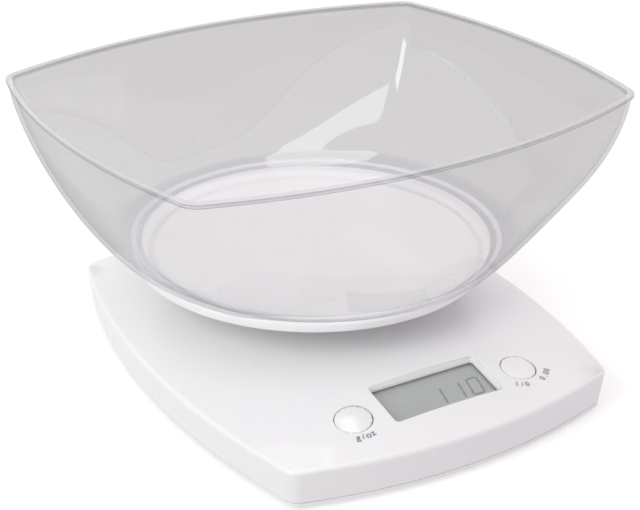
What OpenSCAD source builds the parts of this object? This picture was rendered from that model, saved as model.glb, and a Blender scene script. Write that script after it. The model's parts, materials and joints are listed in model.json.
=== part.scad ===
// Electronic kitchen scale with a clear mixing bowl, millimetres, +Z up.
// The pillow-shaped case stands on four feet, a round platform rides on a load cell,
// and the bowl stands loose on the platform.

/* [Case] */
// Half width of the case, from its centre to the middle of a side wall
case_half_w = 95; // [85:0.5:110]
// Half depth of the case, from its centre to the middle of the front wall
case_half_d = 115.8; // [105:0.1:125]
// Distance of a case corner from the centre line, across
case_corner_x = 79.8; // [76:0.1:81]
// Distance of a case corner from the centre line, front to back
case_corner_y = 103.8; // [100:0.1:105]
// Radius of the upright case corners
case_corner_r = 7.8; // [6:0.1:10]
// Height of the side walls above the underside of the case
wall_h = 18.6; // [16:0.1:24]
// Rise of the crowned top from its edge to its middle
crown = 14.8; // [8:0.1:18]
// Wall thickness of the two mouldings
skin = 2.2; // [1.8:0.1:2.6]
// How far the walls draw in from the top edge to the seam
draft_in = 1.1; // [0.4:0.1:1.6]
// Radius of the rounded top edge
edge_r = 2.2; // [1.5:0.1:3]

/* [Feet] */
// How far the rubber feet stand proud of the underside
foot_h = 1.5; // [1:0.1:3]
// Foot diameter
foot_d = 12; // [8:0.5:16]
// Foot distance from the centre line, across
foot_x = 66; // [50:1:70]
// Foot distance from the centre of the case, front to back
foot_y = 82; // [70:1:88]

/* [Platform] */
// Platform diameter
platform_d = 166.4; // [150:0.2:180]
// Height of the platform's edge above the underside of the case
platform_lift = 45.4; // [42:0.1:60]
// Height of the platform's edge band
platform_edge = 4.5; // [3.5:0.1:7]
// How far the platform axis lies behind the centre of the case
platform_back = 18.9; // [10:0.1:25]
// Diameter of the hub column under the platform
hub_d = 40; // [34:1:44]
// Clearance of the hub column in the case's opening
hub_gap = 2; // [1:0.1:4]
// Travel of the platform at full load
platform_travel = 0.4; // [0.2:0.05:0.8]

/* [Bowl] */
// Half width of the bowl's rim at the middle of a side
rim_half_w = 124.4; // [115:0.1:135]
// Half depth of the bowl's rim at the middle of its front
rim_half_d = 104.6; // [98:0.1:112]
// Distance of a rim corner from the bowl's axis, across
rim_corner_x = 112.8; // [106:0.1:114]
// Distance of a rim corner from the bowl's axis, front to back
rim_corner_y = 83.8; // [78:0.1:90]
// Radius of the rim corners
rim_corner_r = 9.6; // [6:0.1:14]
// Height of the bowl's rim above the underside of the case
rim_lift = 127.8; // [110:0.1:140]
// Radius where the bowl's wall leaves its round base
base_r = 86.4; // [80:0.1:92]
// Wall thickness of the bowl
bowl_wall = 1.8; // [1.4:0.1:2.6]
// Height of the foot ring under the bowl
bowl_foot_h = 2.2; // [0.8:0.1:3]
// Outer radius of the foot ring under the bowl
bowl_foot_r = 78; // [74:0.1:80]
// How far the bowl is turned on the platform, in degrees
bowl_turn = 3.5; // [0:0.5:8]
// How far the bowl stands forward of the platform axis
bowl_forward = 5; // [0:0.1:6]
// Growth of the wall at its foot: lower leaves the base flatter
flare_low = 0.76; // [0.6:0.01:1]
// Growth of the wall at its rim: higher ends more upright
flare_high = 1.62; // [1.2:0.01:2]

/* [Display and buttons] */
// Width of the display opening
display_w = 54.6; // [45:0.1:60]
// Depth of the display opening, along the sloping top
display_d = 23.7; // [18:0.1:26]
// Distance of the display's centre in front of the case's centre
display_forward = 86.8; // [80:0.1:90]
// Depth of the bezel below the top surface
bezel_depth = 4.4; // [4:0.1:6]
// Button diameter
button_d = 16.8; // [12:0.1:18]
// Button distance from the centre line
button_x = 42; // [38:0.1:46]
// Distance of the buttons' centres in front of the case's centre
button_forward = 88.8; // [84:0.1:90]
// How far a button's dome stands above the case around it
button_proud = 0.6; // [0.2:0.1:1.2]
// Gap around a button
button_gap = 0.45; // [0.2:0.05:0.5]
// Button travel
button_travel = 0.5; // [0.3:0.05:0.6]

/* [Load cell] */
// Length of the load cell bar
cell_l = 75; // [65:1:80]
// Width and height of the load cell bar
cell_s = 12.7; // [10:0.1:14]
// Distance between the two screws at an end of the bar
cell_pitch = 12; // [10:0.5:14]
// Screw hole radius in the bar
cell_hole_r = 2; // [1.6:0.05:2.2]

/* [Batteries] */
// Diameter of a battery cell
battery_d = 10.5; // [10:0.1:10.6]
// Length of a battery cell over its terminal
battery_l = 44.5; // [43:0.1:45]
// Distance of the battery box behind the case's centre
battery_back = 72; // [66:0.5:76]
// Radius of the battery door's hinge lugs
lug_r = 0.8; // [0.7:0.05:0.9]

/* [Hidden] */

$fn = 64;
eps = 0.02;

// Points along the arcs of a bowed outline: front and back, corner, sides
arc_steps = 5;
corner_steps = 4;
dome_steps = 8;

// Corner circle centre of a bowed outline: it touches both bowed sides from inside
function bow_r(half, corner, across) =
    let (sag = half - corner) (across * across + sag * sag) / (2 * sag);
function corner_centre(fy, a, sx, b) =
    let (d = sqrt(sx * sx + fy * fy),
        e = [sx, -fy] / d,
        t = (a * a - b * b + d * d) / (2 * d),
        h = sqrt(a * a - t * t))
    [0, fy] + t * e + h * [-e.y, e.x];
function arc(c, r, a0, a1, steps) =
    [for (i = [0:steps]) c + r * [cos(a0 + (a1 - a0) * i / steps), sin(a0 + (a1 - a0) * i / steps)]];
function tail(v) = [for (i = [1:len(v) - 1]) v[i]];
function flip_x(v) = [for (i = [len(v) - 1:-1:0]) [-v[i].x, v[i].y]];
function flip_y(v) = [for (i = [len(v) - 1:-1:0]) [v[i].x, -v[i].y]];

// Closed outline of four bowed sides and four round corners, anticlockwise
function bowed(hx, hy, cx, cy, r, na = arc_steps, nc = corner_steps) =
    let (ry = bow_r(hy, cy, cx),
        rx = bow_r(hx, cx, cy),
        fy = ry - hy,
        sx = hx - rx,
        p = corner_centre(fy, ry - r, sx, rx - r),
        df = atan2(p.y - fy, p.x),
        dr = atan2(p.y, p.x - sx),
        quarter = concat(arc([0, fy], ry, -90, df, na),
            tail(arc(p, r, df, dr, nc)),
            tail(arc([sx, 0], rx, dr, 0, na))),
        half = concat(quarter, tail(flip_y(quarter))),
        whole = concat(half, tail(flip_x(half))))
    [for (i = [0:len(whole) - 2]) whole[i]];

function case_outline(inset) =
    bowed(case_half_w - inset, case_half_d - inset, case_corner_x - inset,
        case_corner_y - inset, max(case_corner_r - inset, 0.4));

rim_arc_steps = 7;
rim_corner_steps = 4;
rim_outline = bowed(rim_half_w, rim_half_d, rim_corner_x, rim_corner_y, rim_corner_r,
    rim_arc_steps, rim_corner_steps);
function turned(v, a) = [for (p = v) [p.x * cos(a) - p.y * sin(a), p.x * sin(a) + p.y * cos(a)]];

// The origin is under the middle of the whole object, on the surface it stands on
rim_reach = max([for (p = turned(rim_outline, bowl_turn)) p.y]);
platform_y = (case_half_d + platform_back - (rim_reach - bowl_forward)) / 2;
case_y = platform_y - platform_back;
bowl_y = platform_y - bowl_forward;

// Heights from the surface that the scale stands on
under_z = foot_h;
floor_z = under_z + 2;
seam_z = under_z + 2.7;
edge_z = under_z + wall_h;
platform_low = under_z + platform_lift;
platform_top = platform_low + platform_edge;
rim_z = under_z + rim_lift;

// The crown's level lines grow from ellipses in the middle into the bowed outline at the edge
blend_power = 6;
function level_at(s, g, t, n) =
    n == 0 ? t : level_at(s, g, s / (1 + (g - 1) * pow(t, blend_power)), n - 1);
// Height of the crowned top ahead of the case's centre, at a point measured from that centre
function crown_z(x, y) =
    let (s = norm([x / case_half_w, y / case_half_d]),
        e = [x, y] / s,
        ry = bow_r(case_half_d, case_corner_y, case_corner_x),
        fy = ry - case_half_d,
        g = (e.y * fy + sqrt(pow(e.y * fy, 2) + e * e * (ry * ry - fy * fy))) / (e * e),
        t = level_at(s, g, s, 12))
    edge_z + crown * (1 - t * t);
display_y = case_y - display_forward;
display_z = crown_z(0, -display_forward);
tilt = atan(2 * crown * display_forward / (case_half_d * case_half_d));
side_tilt = atan((crown_z(button_x - 1, -button_forward) - crown_z(button_x + 1, -button_forward)) / 2);

// Heights below the sloping top, along its normal at the display
lens_t = 1;
glass_t = 2.8;
board_t = 1.6;
lens_top = -bezel_depth;
glass_top = lens_top - lens_t - 0.2;
board_top = -13;
board_w = 117;
board_d = 30;
boss_x = 54.5;
boss_y = 11;
button_drop = (display_z - (button_forward - display_forward) * tan(tilt)
    - crown_z(button_x, -button_forward)) * cos(tilt);
flange_top = -button_drop - skin - 1.6;
flange_t = 0.8;
switch_h = 3.5;
plunger_top = board_top + switch_h + button_travel + 0.3;

// The load cell lies across the case under the platform's axis
pad_z = floor_z + 3;
plate_t = 1;
cell_z = pad_z + plate_t;
cell_top_z = cell_z + cell_s;
arm_z = cell_top_z + plate_t;
screw_out = cell_l / 2 - 7;
screw_in = screw_out - cell_pitch;

// Hub and platform
flange_z = platform_low - 3;
flange_h = 2.5;
plate_low = platform_top - 2.5;
hub_flange_r = 35;
hub_screw_r = 28;

// Battery box
battery_y = case_y + battery_back;
battery_z = floor_z + 0.4 + battery_d / 2;
cell_gap = battery_d / 2 + 0.35;
box_x = (battery_l + 6.5) / 2;
box_y = battery_d + 1.1;
box_top = battery_z + battery_d / 2 + 0.5;
contact_t = 0.4;
door_x = box_x + 0.5;
hinge_y = battery_y - box_y - 1;
hinge_z = under_z + 1.3;
door_end = battery_y + box_y + 0.4;

boss_places = [for (sx = [-1, 1]) for (sy = [-1, 1]) [sx * 68, sy * 92]];
wire_sides = 8;

function ring(outline, z) = [for (p = outline) [p.x, p.y, z]];

// Solid skin through a stack of rings with equal point counts
module loft(rings) {
    n = len(rings[0]);
    m = len(rings);
    points = [for (r = rings) for (p = r) p];
    sides = [for (j = [0:m - 2]) for (i = [0:n - 1])
        let (a = j * n + i, b = j * n + (i + 1) % n)
            for (f = [[a, a + n, b + n], [a, b + n, b]]) f];
    caps = [[for (i = [0:n - 1]) i], [for (i = [n - 1:-1:0]) (m - 1) * n + i]];
    polyhedron(points, concat(sides, caps), convexity = 8);
}

// Crowned housing block: drafted walls, rounded edge, pillow top
function dome_ring(outline, t, drop) =
    [for (p = outline)
        let (a = atan2(p.y / case_half_d, p.x / case_half_w),
            e = [case_half_w * cos(a), case_half_d * sin(a)],
            keep = pow(t, blend_power),
            q = t * ((1 - keep) * e + keep * p))
        [q.x, q.y, edge_z + crown * (1 - t * t) - drop]];
module housing_block(inset, drop, low) {
    turn = 70;
    rise = edge_r * sin(turn);
    edge_in = edge_r * (1 - cos(turn));
    rings = concat(
        [ring(case_outline(inset + draft_in), low)],
        [for (a = [0:17.5:52.5])
            ring(case_outline(inset + edge_r * (1 - cos(a))), edge_z - rise + edge_r * sin(a) - drop)],
        [for (k = [dome_steps:-1:0])
            let (t = sqrt(0.0025 + 0.9975 * k / dome_steps))
            dome_ring(case_outline(inset + edge_in), t, drop)]);
    loft(rings);
}

// Rounded rectangle with true arcs at its corners
module round_rect(w, d, r) {
    square([w - 2 * r, d], center = true);
    square([w, d - 2 * r], center = true);
    for (x = [-1, 1])
        for (y = [-1, 1])
            translate([x * (w / 2 - r), y * (d / 2 - r)]) circle(r, $fn = 24);
}
module slab(w, d, r, low, high) {
    translate([0, 0, low]) linear_extrude(high - low) round_rect(w, d, r);
}
module at_case() {
    translate([0, case_y, 0]) children();
}
module at_axis() {
    translate([0, platform_y, 0]) children();
}
// Frame of the sloping front: origin on the top surface at the display's centre
module at_display() {
    translate([0, display_y, display_z]) rotate([tilt, 0, 0]) children();
}
module at_button(side) {
    at_display()
        translate([side * button_x, (display_forward - button_forward) / cos(tilt), 0]) children();
}

module bottom_cover() {
    color("whitesmoke")
    difference() {
        union() {
            at_case() cover_tray();
            at_axis() cell_pad();
            at_axis() overload_stop();
            battery_box();
            at_case()
                for (p = boss_places)
                    translate([p.x, p.y, floor_z - eps]) cylinder(r = 5, h = 3, $fn = 32);
            for (side = [-1, 1])
                translate([side * (door_x + 1.9), hinge_y, floor_z + 0.8])
                    cube([3.8, 4.6, 1.8], center = true);
        }
        at_case() {
            for (p = boss_places)
                translate([p.x, p.y, 0]) {
                    translate([0, 0, under_z - 1]) cylinder(r = 1.7, h = 12, $fn = 32);
                    translate([0, 0, under_z - 1]) cylinder(r = 3.2, h = 3.6, $fn = 32);
                }
            for (x = [-foot_x, foot_x])
                for (y = [-foot_y, foot_y])
                    translate([x, y, under_z - 1])
                        cylinder(r = foot_d / 2 + 0.1, h = 1.8, $fn = 48);
        }
        at_axis()
            for (x = [-screw_out, -screw_in])
                translate([x, 0, under_z - 1]) {
                    cylinder(r = cell_hole_r + 0.15, h = 12, $fn = 32);
                    cylinder(r = 4, h = 3.6, $fn = 32);
                }
        door_opening();
    }
}
// Floor, seam groove and the tongue that locates the top cover
module cover_tray() {
    difference() {
        union() {
            translate([0, 0, under_z])
                linear_extrude(0.5) polygon(case_outline(draft_in + 0.8));
            translate([0, 0, under_z + 0.4])
                linear_extrude(1.8) polygon(case_outline(draft_in + 0.2));
            translate([0, 0, under_z + 2])
                linear_extrude(seam_z - under_z - 2) polygon(case_outline(draft_in + 0.7));
            translate([0, 0, seam_z - eps])
                linear_extrude(3 + eps) polygon(case_outline(draft_in + skin + 0.15));
        }
        translate([0, 0, floor_z])
            linear_extrude(10) polygon(case_outline(draft_in + skin + 1.6));
    }
    // Stiffening ribs across the floor, clear of the load cell and the battery box
    for (y = [-62, -30])
        translate([-60, y, floor_z - eps]) cube([120, 1.2, 2.5]);
    for (x = [-61.2, 60])
        translate([x, -62, floor_z - eps]) cube([1.2, 110, 2.5]);
}
module cell_pad() {
    translate([-cell_l / 2 - 2, -cell_s / 2 - 3, floor_z - eps])
        cube([26, cell_s + 6, pad_z - floor_z + eps]);
    for (y = [-1, 1])
        translate([-cell_l / 2 - 2, y * (cell_s / 2 + 2) - 1, floor_z - eps])
            cube([24, 2, 6]);
}
// Rib that stops the bar's free end just past its travel
module overload_stop() {
    translate([(screw_in + screw_out) / 2 - 1.5, -cell_s / 2, floor_z - eps])
        cube([3, cell_s, cell_z - platform_travel - 0.1 - floor_z + eps]);
}
module battery_box() {
    translate([0, battery_y, 0])
        difference() {
            translate([-box_x - 1.5, -box_y - 1.5, floor_z - eps])
                cube([2 * box_x + 3, 2 * box_y + 3, box_top + 1.5 - floor_z]);
            translate([-box_x, -box_y, floor_z - 1])
                cube([2 * box_x, 2 * box_y, box_top - floor_z + 1]);
            // Slots in the roof for the two contact tabs
            for (y = [-1, 1])
                translate([-box_x - eps, y * cell_gap - 2.2, box_top - 1])
                    cube([contact_t + 0.3, 4.4, 4]);
        }
    // Saddle between the two batteries
    translate([-15, battery_y - 0.5, floor_z + battery_d + 0.2]) cube([30, 1, 1.6]);
}
module door_opening() {
    translate([-door_x, hinge_y, under_z - 1])
        cube([2 * door_x, door_end - hinge_y + 0.3, floor_z - under_z + 1 + eps]);
    translate([-door_x, hinge_y, hinge_z])
        rotate([0, 90, 0]) cylinder(r = 1.65, h = 2 * door_x, $fn = 32);
    translate([-door_x, hinge_y - 1.65, under_z - 1])
        cube([2 * door_x, 3, 2.3]);
    translate([-door_x - 2.1, hinge_y, hinge_z])
        rotate([0, 90, 0]) cylinder(r = lug_r + 0.06, h = 2 * door_x + 4.2, $fn = 32);
}

module rubber_feet() {
    color("dimgray")
    at_case()
        for (x = [-foot_x, foot_x])
            for (y = [-foot_y, foot_y])
                translate([x, y, 0]) {
                    cylinder(r1 = foot_d / 2 - 0.5, r2 = foot_d / 2 - 0.05, h = 0.6, $fn = 48);
                    translate([0, 0, 0.6])
                        cylinder(r = foot_d / 2 - 0.05, h = under_z + 0.8 - 0.6, $fn = 48);
                }
}

// Pan-head screw pointing up, the underside of its head at the origin
module screw_up(r, head_r, head_h, length) {
    translate([0, 0, -eps]) cylinder(r = r, h = length + eps, $fn = 24);
    difference() {
        translate([0, 0, -head_h]) cylinder(r = head_r, h = head_h, $fn = 32);
        for (a = [0, 90])
            translate([0, 0, -head_h])
                rotate(a) cube([head_r * 1.2, head_r * 0.22, head_h], center = true);
    }
}
module case_screws() {
    color("silver")
    at_case()
        for (p = boss_places)
            translate([p.x, p.y, under_z + 2.6]) screw_up(1.25, 2.8, 1.8, 14);
}

module top_cover() {
    color("white")
    difference() {
        union() {
            difference() {
                at_case() housing_block(0, 0, seam_z);
                at_case() housing_block(skin, skin, seam_z - 1);
            }
            intersection() {
                at_case() housing_block(skin - 1, skin - 1, seam_z);
                union() {
                    cover_bosses();
                    cover_ribs();
                    display_surround();
                }
            }
        }
        at_case()
            for (p = boss_places)
                translate([p.x, p.y, 0]) cylinder(r = 1.3, h = 21, $fn = 24);
        at_axis() cylinder(r = hub_d / 2 + hub_gap, h = 60, $fn = 96);
        display_cut();
        for (side = [-1, 1])
            at_button(side)
                translate([0, 0, -bezel_depth - 6]) cylinder(r = button_d / 2 + button_gap, h = 14, $fn = 72);
        at_display()
            for (x = [-boss_x, boss_x])
                for (y = [-boss_y, boss_y])
                    translate([x, y, board_top - 1]) cylinder(r = 0.95, h = 8, $fn = 24);
    }
}
module cover_bosses() {
    at_case()
        for (p = boss_places)
            translate([p.x, p.y, floor_z + 3.1]) cylinder(r = 3.6, h = 30, $fn = 32);
    at_display()
        for (x = [-boss_x, boss_x])
            for (y = [-boss_y, boss_y])
                translate([x, y, board_top]) cylinder(r = 2.6, h = 20, $fn = 32);
}
// Flat-bottomed ribs under the crown, and the collar round the hub opening
module cover_ribs() {
    rib_low = edge_z + 1.5;
    at_case() {
        for (x = [-62, 62])
            translate([x - 0.6, -76, rib_low]) cube([1.2, 152, 20]);
        for (y = [-52, 56])
            translate([-80, y - 0.6, rib_low]) cube([160, 1.2, 20]);
    }
    at_axis()
        translate([0, 0, edge_z + 9.6]) cylinder(r = hub_d / 2 + hub_gap + 1.6, h = 20, $fn = 96);
}
module display_surround() {
    at_display() slab(display_w + 7, display_d + 7, 2, lens_top, 6);
}
// Stepped display opening: a wide upper step and a narrower lower one
module display_cut() {
    at_display() {
        slab(display_w, display_d, 2, -2.9, 8);
        slab(display_w - 1.2, display_d - 1.2, 1.6, lens_top - 1, 0);
    }
}

module display_lens() {
    color("lightblue", 0.4)
    at_display() slab(display_w + 3, display_d + 3, 1, lens_top - lens_t, lens_top);
}
module lcd_glass() {
    color("darkseagreen")
    at_display() slab(display_w + 2, display_d + 2.6, 0.5, glass_top - glass_t, glass_top);
}
module lcd_frame() {
    color("ivory")
    at_display()
        difference() {
            slab(display_w + 6.6, display_d + 6.6, 1.5, board_top, lens_top);
            slab(display_w + 3.4, display_d + 3.4, 1, lens_top - lens_t - 0.1, 1);
            slab(display_w + 2.4, display_d + 3, 0.6, glass_top - glass_t, 1);
            slab(display_w - 2, display_d - 7, 0.5, board_top - 1, 1);
            for (y = [-1, 1])
                translate([0, y * (display_d / 2 - 1.4), 0])
                    slab(display_w - 3, 2.6, 0.4, board_top - 1, 1);
        }
}
module zebra_strips() {
    color("dimgray")
    at_display()
        for (y = [-1, 1])
            translate([0, y * (display_d / 2 - 1.4), 0])
                slab(display_w - 5, 2.2, 0.3, board_top, glass_top - glass_t);
}
module main_board() {
    color("darkgreen")
    at_display()
        difference() {
            slab(board_w, board_d, 1.5, board_top - board_t, board_top);
            for (x = [-boss_x, boss_x])
                for (y = [-boss_y, boss_y])
                    translate([x, y, board_top - 3]) cylinder(r = 1.25, h = 5, $fn = 24);
        }
}
module chip_blob() {
    color("black")
    at_display()
        translate([8, 0, board_top - board_t])
            intersection() {
                translate([0, 0, 8.4]) sphere(r = 10, $fn = 48);
                translate([0, 0, -5]) cylinder(r = 8, h = 5, $fn = 48);
            }
}
module board_screws() {
    color("silver")
    at_display()
        for (x = [-boss_x, boss_x])
            for (y = [-boss_y, boss_y])
                translate([x, y, board_top - board_t]) screw_up(0.9, 1.9, 1.3, 6.5);
}

// Domed cap, retaining flange and stem, in one moulding
module button(side) {
    r = button_d / 2;
    dome_r = 42;
    top = button_proud - button_drop;
    at_button(side) {
        intersection() {
            translate([0, 0, flange_top - eps]) cylinder(r = r, h = top - flange_top + 3, $fn = 72);
            translate([-side * dome_r * sin(side_tilt), 0, top - dome_r * cos(side_tilt)])
                sphere(r = dome_r, $fn = 96);
        }
        translate([0, 0, flange_top - flange_t]) cylinder(r = r + 1.2, h = flange_t, $fn = 64);
        translate([0, 0, plunger_top])
            cylinder(r = 2.6, h = flange_top - plunger_top, $fn = 32);
    }
}
module unit_button() {
    color("white") button(-1);
}
module tare_button() {
    color("white") button(1);
}
module switch_body(side) {
    at_button(side)
        difference() {
            slab(6, 6, 0.4, board_top, board_top + switch_h);
            translate([0, 0, board_top + 1.2]) cylinder(r = 1.75, h = 5, $fn = 32);
        }
}
module unit_switch() {
    color("black") switch_body(-1);
}
module tare_switch() {
    color("black") switch_body(1);
}
module switch_plunger(side) {
    at_button(side)
        translate([0, 0, board_top + 2]) cylinder(r = 1.68, h = plunger_top - board_top - 2, $fn = 32);
}
module unit_switch_plunger() {
    color("sienna") switch_plunger(-1);
}
module tare_switch_plunger() {
    color("sienna") switch_plunger(1);
}

// Bar with the two joined bores that make its bending beams
module load_cell() {
    color("lightgray")
    at_axis()
        difference() {
            translate([-cell_l / 2, -cell_s / 2, cell_z]) cube([cell_l, cell_s, cell_s]);
            for (x = [-7, 7])
                translate([x, -cell_s, cell_z + cell_s / 2])
                    rotate([-90, 0, 0]) cylinder(r = 4.6, h = 2 * cell_s, $fn = 48);
            translate([-7, -cell_s, cell_z + cell_s / 2 - 2]) cube([14, 2 * cell_s, 4]);
            for (x = [-screw_out, -screw_in, screw_in, screw_out])
                translate([x, 0, 0]) cylinder(r = cell_hole_r, h = 60, $fn = 32);
        }
}
module gauge_covers() {
    color("white")
    at_axis() {
        translate([0, 0, cell_top_z]) linear_extrude(0.8) round_rect(20, cell_s - 2, 2);
        translate([0, 0, cell_z - 0.8]) linear_extrude(0.8) round_rect(20, cell_s - 2, 2);
    }
}
module cell_plate(x0, low) {
    at_axis()
        difference() {
            translate([x0, -cell_s / 2, low]) cube([22, cell_s, plate_t]);
            for (x = [-screw_out, -screw_in, screw_in, screw_out])
                translate([x, 0, 0]) cylinder(r = cell_hole_r + 0.1, h = 60, $fn = 32);
        }
}
module cell_base_plate() {
    color("silver") cell_plate(-cell_l / 2 - 1, pad_z);
}
module cell_top_plate() {
    color("silver") cell_plate(cell_l / 2 - 21, cell_top_z);
}
module cell_base_screws() {
    color("silver")
    at_axis()
        for (x = [-screw_out, -screw_in])
            translate([x, 0, under_z + 2.6]) screw_up(cell_hole_r - 0.05, 3.6, 2.2, 15);
}
module cell_top_screws() {
    color("silver")
    at_axis()
        for (x = [screw_in, screw_out])
            translate([x, 0, cell_z]) screw_up(cell_hole_r - 0.05, 3.4, 2.2, cell_s + plate_t + 3.5);
}

// Column through the case, with an arm on the free end of the bar and a flange for the platform
module platform_hub() {
    color("gainsboro")
    at_axis()
        difference() {
            union() {
                translate([0, 0, arm_z + 1.2])
                    cylinder(r = hub_d / 2, h = flange_z - arm_z - 1.2 + eps, $fn = 96);
                translate([0, -cell_s / 2 - 2, arm_z + 1.2]) cube([cell_l / 2 + 2, cell_s + 4, 4.5]);
                translate([screw_in - 8, -cell_s / 2 - 2, arm_z])
                    cube([cell_l / 2 + 10 - screw_in, cell_s + 4, 3]);
                for (y = [-1, 1])
                    translate([0, y * (cell_s / 2 + 1) - 1, arm_z + 1.2]) cube([cell_l / 2 + 2, 2, 6]);
                translate([0, 0, flange_z]) cylinder(r = hub_flange_r, h = flange_h, $fn = 96);
                for (a = [0:45:315])
                    rotate(a) hub_gusset();
            }
            translate([0, 0, arm_z + 6])
                cylinder(r = hub_d / 2 - 2.4, h = 60, $fn = 96);
            for (x = [screw_in, screw_out])
                translate([x, 0, arm_z - 1]) cylinder(r = cell_hole_r, h = 5, $fn = 32);
            for (a = [22.5:90:292.5])
                rotate(a) translate([hub_screw_r, 0, flange_z - 1]) cylinder(r = 1.7, h = 6, $fn = 32);
        }
}
module hub_gusset() {
    translate([0, 0.8, 0])
        rotate([90, 0, 0])
            linear_extrude(1.6)
                polygon([[hub_d / 2 - 1, flange_z - 6], [hub_d / 2 + 0.5, flange_z - 6],
                    [hub_flange_r - 3, flange_z + eps], [hub_d / 2 - 1, flange_z + eps]]);
}
module hub_screws() {
    color("silver")
    at_axis()
        for (a = [22.5:90:292.5])
            rotate(a)
                translate([hub_screw_r, 0, flange_z]) screw_up(1.5, 2.9, 1.9, flange_h + 3.4);
}

// Round plate with a rounded edge band, a skirt and ribs beneath
module platform() {
    r = platform_d / 2;
    color("white")
    at_axis()
        difference() {
            union() {
                rotate_extrude($fn = 180)
                    union() {
                        translate([0, plate_low]) square([r - 1.2, platform_top - plate_low]);
                        translate([r - 2.6, platform_low + 0.6]) square([2.6, platform_edge - 1.8]);
                        translate([r - 2.6, platform_low]) square([2, 1.2]);
                        translate([r - 1.2, platform_top - 1.2]) circle(1.2, $fn = 32);
                    }
                for (ring_r = [46, 64])
                    translate([0, 0, platform_low + 0.5])
                        difference() {
                            cylinder(r = ring_r, h = plate_low - platform_low, $fn = 120);
                            translate([0, 0, -1]) cylinder(r = ring_r - 1.4, h = 4, $fn = 120);
                        }
                for (a = [0:30:330])
                    rotate(a)
                        translate([37, -0.7, platform_low + 0.5])
                            cube([r - 39, 1.4, plate_low - platform_low]);
                for (a = [22.5:90:292.5])
                    rotate(a)
                        translate([hub_screw_r, 0, flange_z + flange_h])
                            cylinder(r = 4, h = plate_low - flange_z - flange_h + eps, $fn = 32);
            }
            for (a = [22.5:90:292.5])
                rotate(a)
                    translate([hub_screw_r, 0, 0]) cylinder(r = 1.55, h = plate_low + 1, $fn = 32);
        }
}

// Bowl wall: each meridian runs from the round base to the bowed rim
bowl_base_z = platform_top + bowl_foot_h + 2.7;
function grow(s) = 1 - pow(1 - pow(s, flare_low), flare_high);
function wall_point(p, s) =
    let (w = grow(s), u = p / norm(p), q = (1 - w) * base_r * u + w * p)
    [q.x, q.y, bowl_base_z + (rim_z - lip_h - bowl_base_z) * s];
lip_h = 2.4;
lip_out = 0.9;
wall_steps = [0, 0.03, 0.09, 0.18, 0.3, 0.44, 0.6, 0.78, 1];
wall_rim = bowed(rim_half_w - lip_out, rim_half_d - lip_out, rim_corner_x - lip_out,
    rim_corner_y - lip_out, rim_corner_r - lip_out, rim_arc_steps, rim_corner_steps);
function outer_ring(s) = [for (p = wall_rim) wall_point(p, s)];
// Inner face: the outer one moved in by the wall thickness, square to each meridian
function inner_ring(s) =
    [for (p = wall_rim)
        let (a = wall_point(p, max(s - 0.02, 0)),
            b = wall_point(p, min(s + 0.02, 1)),
            c = wall_point(p, s),
            u = [p.x, p.y] / norm(p),
            dr = norm([b.x, b.y]) - norm([a.x, a.y]),
            dz = b.z - a.z,
            l = norm([dr, dz]))
        [c.x - u.x * bowl_wall * dz / l, c.y - u.y * bowl_wall * dz / l, c.z + bowl_wall * dr / l]];
function round_ring(r, z) = [for (p = wall_rim) [r * p.x / norm(p), r * p.y / norm(p), z]];
module bowl() {
    plate_z = platform_top + bowl_foot_h;
    inner_z = plate_z + 2;
    rings = concat(
        [round_ring(bowl_foot_r - 3, plate_z), round_ring(bowl_foot_r - 3, platform_top),
            round_ring(bowl_foot_r, platform_top), round_ring(bowl_foot_r, plate_z),
            round_ring((bowl_foot_r + 2 * base_r) / 3, plate_z + 0.9)],
        [for (s = wall_steps) outer_ring(s)],
        [ring(rim_outline, rim_z - lip_h + 0.4), ring(rim_outline, rim_z - 0.5),
            ring(bowed(rim_half_w - 0.6, rim_half_d - 0.6, rim_corner_x - 0.6, rim_corner_y - 0.6,
                rim_corner_r - 0.6, rim_arc_steps, rim_corner_steps), rim_z),
            ring(bowed(rim_half_w - 2.1, rim_half_d - 2.1, rim_corner_x - 2.1, rim_corner_y - 2.1,
                rim_corner_r - 2.1, rim_arc_steps, rim_corner_steps), rim_z)],
        [for (i = [len(wall_steps) - 1:-1:1]) inner_ring(wall_steps[i])],
        [round_ring(base_r - 6.5, inner_z + 0.4), round_ring(base_r - 8.5, inner_z)]);
    color("lightgray", 0.5)
    translate([0, bowl_y, 0]) rotate(bowl_turn) loft(rings);
}

module battery_door() {
    clear = 0.3;
    w = 2 * (door_x - clear);
    color("whitesmoke")
    difference() {
        union() {
            translate([-w / 2, hinge_y, under_z])
                cube([w, door_end - hinge_y, floor_z - under_z]);
            translate([-w / 2, hinge_y, hinge_z])
                rotate([0, 90, 0]) cylinder(r = 1.3, h = w, $fn = 32);
            translate([-door_x - 1.8, hinge_y, hinge_z])
                rotate([0, 90, 0]) cylinder(r = lug_r, h = 2 * door_x + 3.6, $fn = 32);
        }
        // Slots that free the latch tongue, and its finger grooves
        for (x = [-7, 6])
            translate([x, door_end - 9, under_z - 1]) cube([1, 10, 4]);
        for (y = [3, 5, 7])
            translate([-4.5, door_end - y, under_z - 0.6]) cube([9, 0.8, 1]);
    }
}

module battery(side) {
    // The terminal end is at -X on one cell and at +X on the other
    translate([0, battery_y + side * cell_gap, battery_z])
        rotate([0, -90 * side, 0])
            translate([0, 0, -(box_x - contact_t)]) {
                translate([0, 0, 2 * (box_x - contact_t) - battery_l])
                    cylinder(r = battery_d / 2, h = battery_l - 1, $fn = 64);
                translate([0, 0, 2 * (box_x - contact_t) - 1 - eps])
                    cylinder(r = 1.9, h = 1 + eps, $fn = 32);
            }
}
module battery_a() {
    color("goldenrod") battery(1);
}
module battery_b() {
    color("goldenrod") battery(-1);
}

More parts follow.
